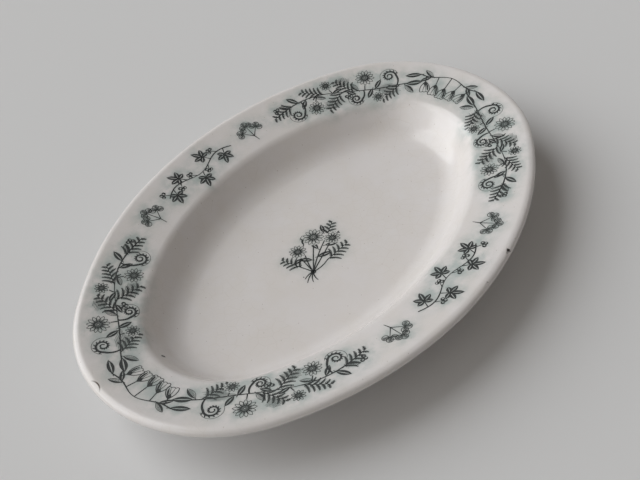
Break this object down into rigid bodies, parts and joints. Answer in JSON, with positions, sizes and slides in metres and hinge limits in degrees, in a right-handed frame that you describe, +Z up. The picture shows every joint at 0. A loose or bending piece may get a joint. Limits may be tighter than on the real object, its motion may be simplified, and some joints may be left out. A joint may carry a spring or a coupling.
{
  "type": "oval serving platter",
  "caption": "Oval serving platter of cream-glazed earthenware with a wide sloping rim, a deep flat well, a foot ring and printed leaf and flower sprays.",
  "frame": {"origin": "middle of the plane the foot ring stands on, under the centre of the oval", "axes": "+X along the long axis, +Y along the short axis, +Z up out of the well"},
  "size_m": [0.355, 0.251, 0.0367],
  "materials": {
    "bare_clay": "matt unglazed earthenware",
    "cream_glaze": "glossy ivory lead glaze with fine crazing",
    "print_ink": "grey-green transfer ink under clear glaze"
  },
  "bodies": {
    "root": {"earthenware_body": "bare_clay", "face_glaze": "cream_glaze", "recess_glaze": "cream_glaze", "centre_print": "print_ink", "fern_print_1": "print_ink", "fern_print_2": "print_ink", "fern_print_3": "print_ink", "fern_print_4": "print_ink", "ivy_print_1": "print_ink", "ivy_print_2": "print_ink", "bellflower_print_1": "print_ink", "bellflower_print_2": "print_ink", "clover_print_1": "print_ink", "clover_print_2": "print_ink", "clover_print_3": "print_ink", "clover_print_4": "print_ink"}
  },
  "joints": []
}
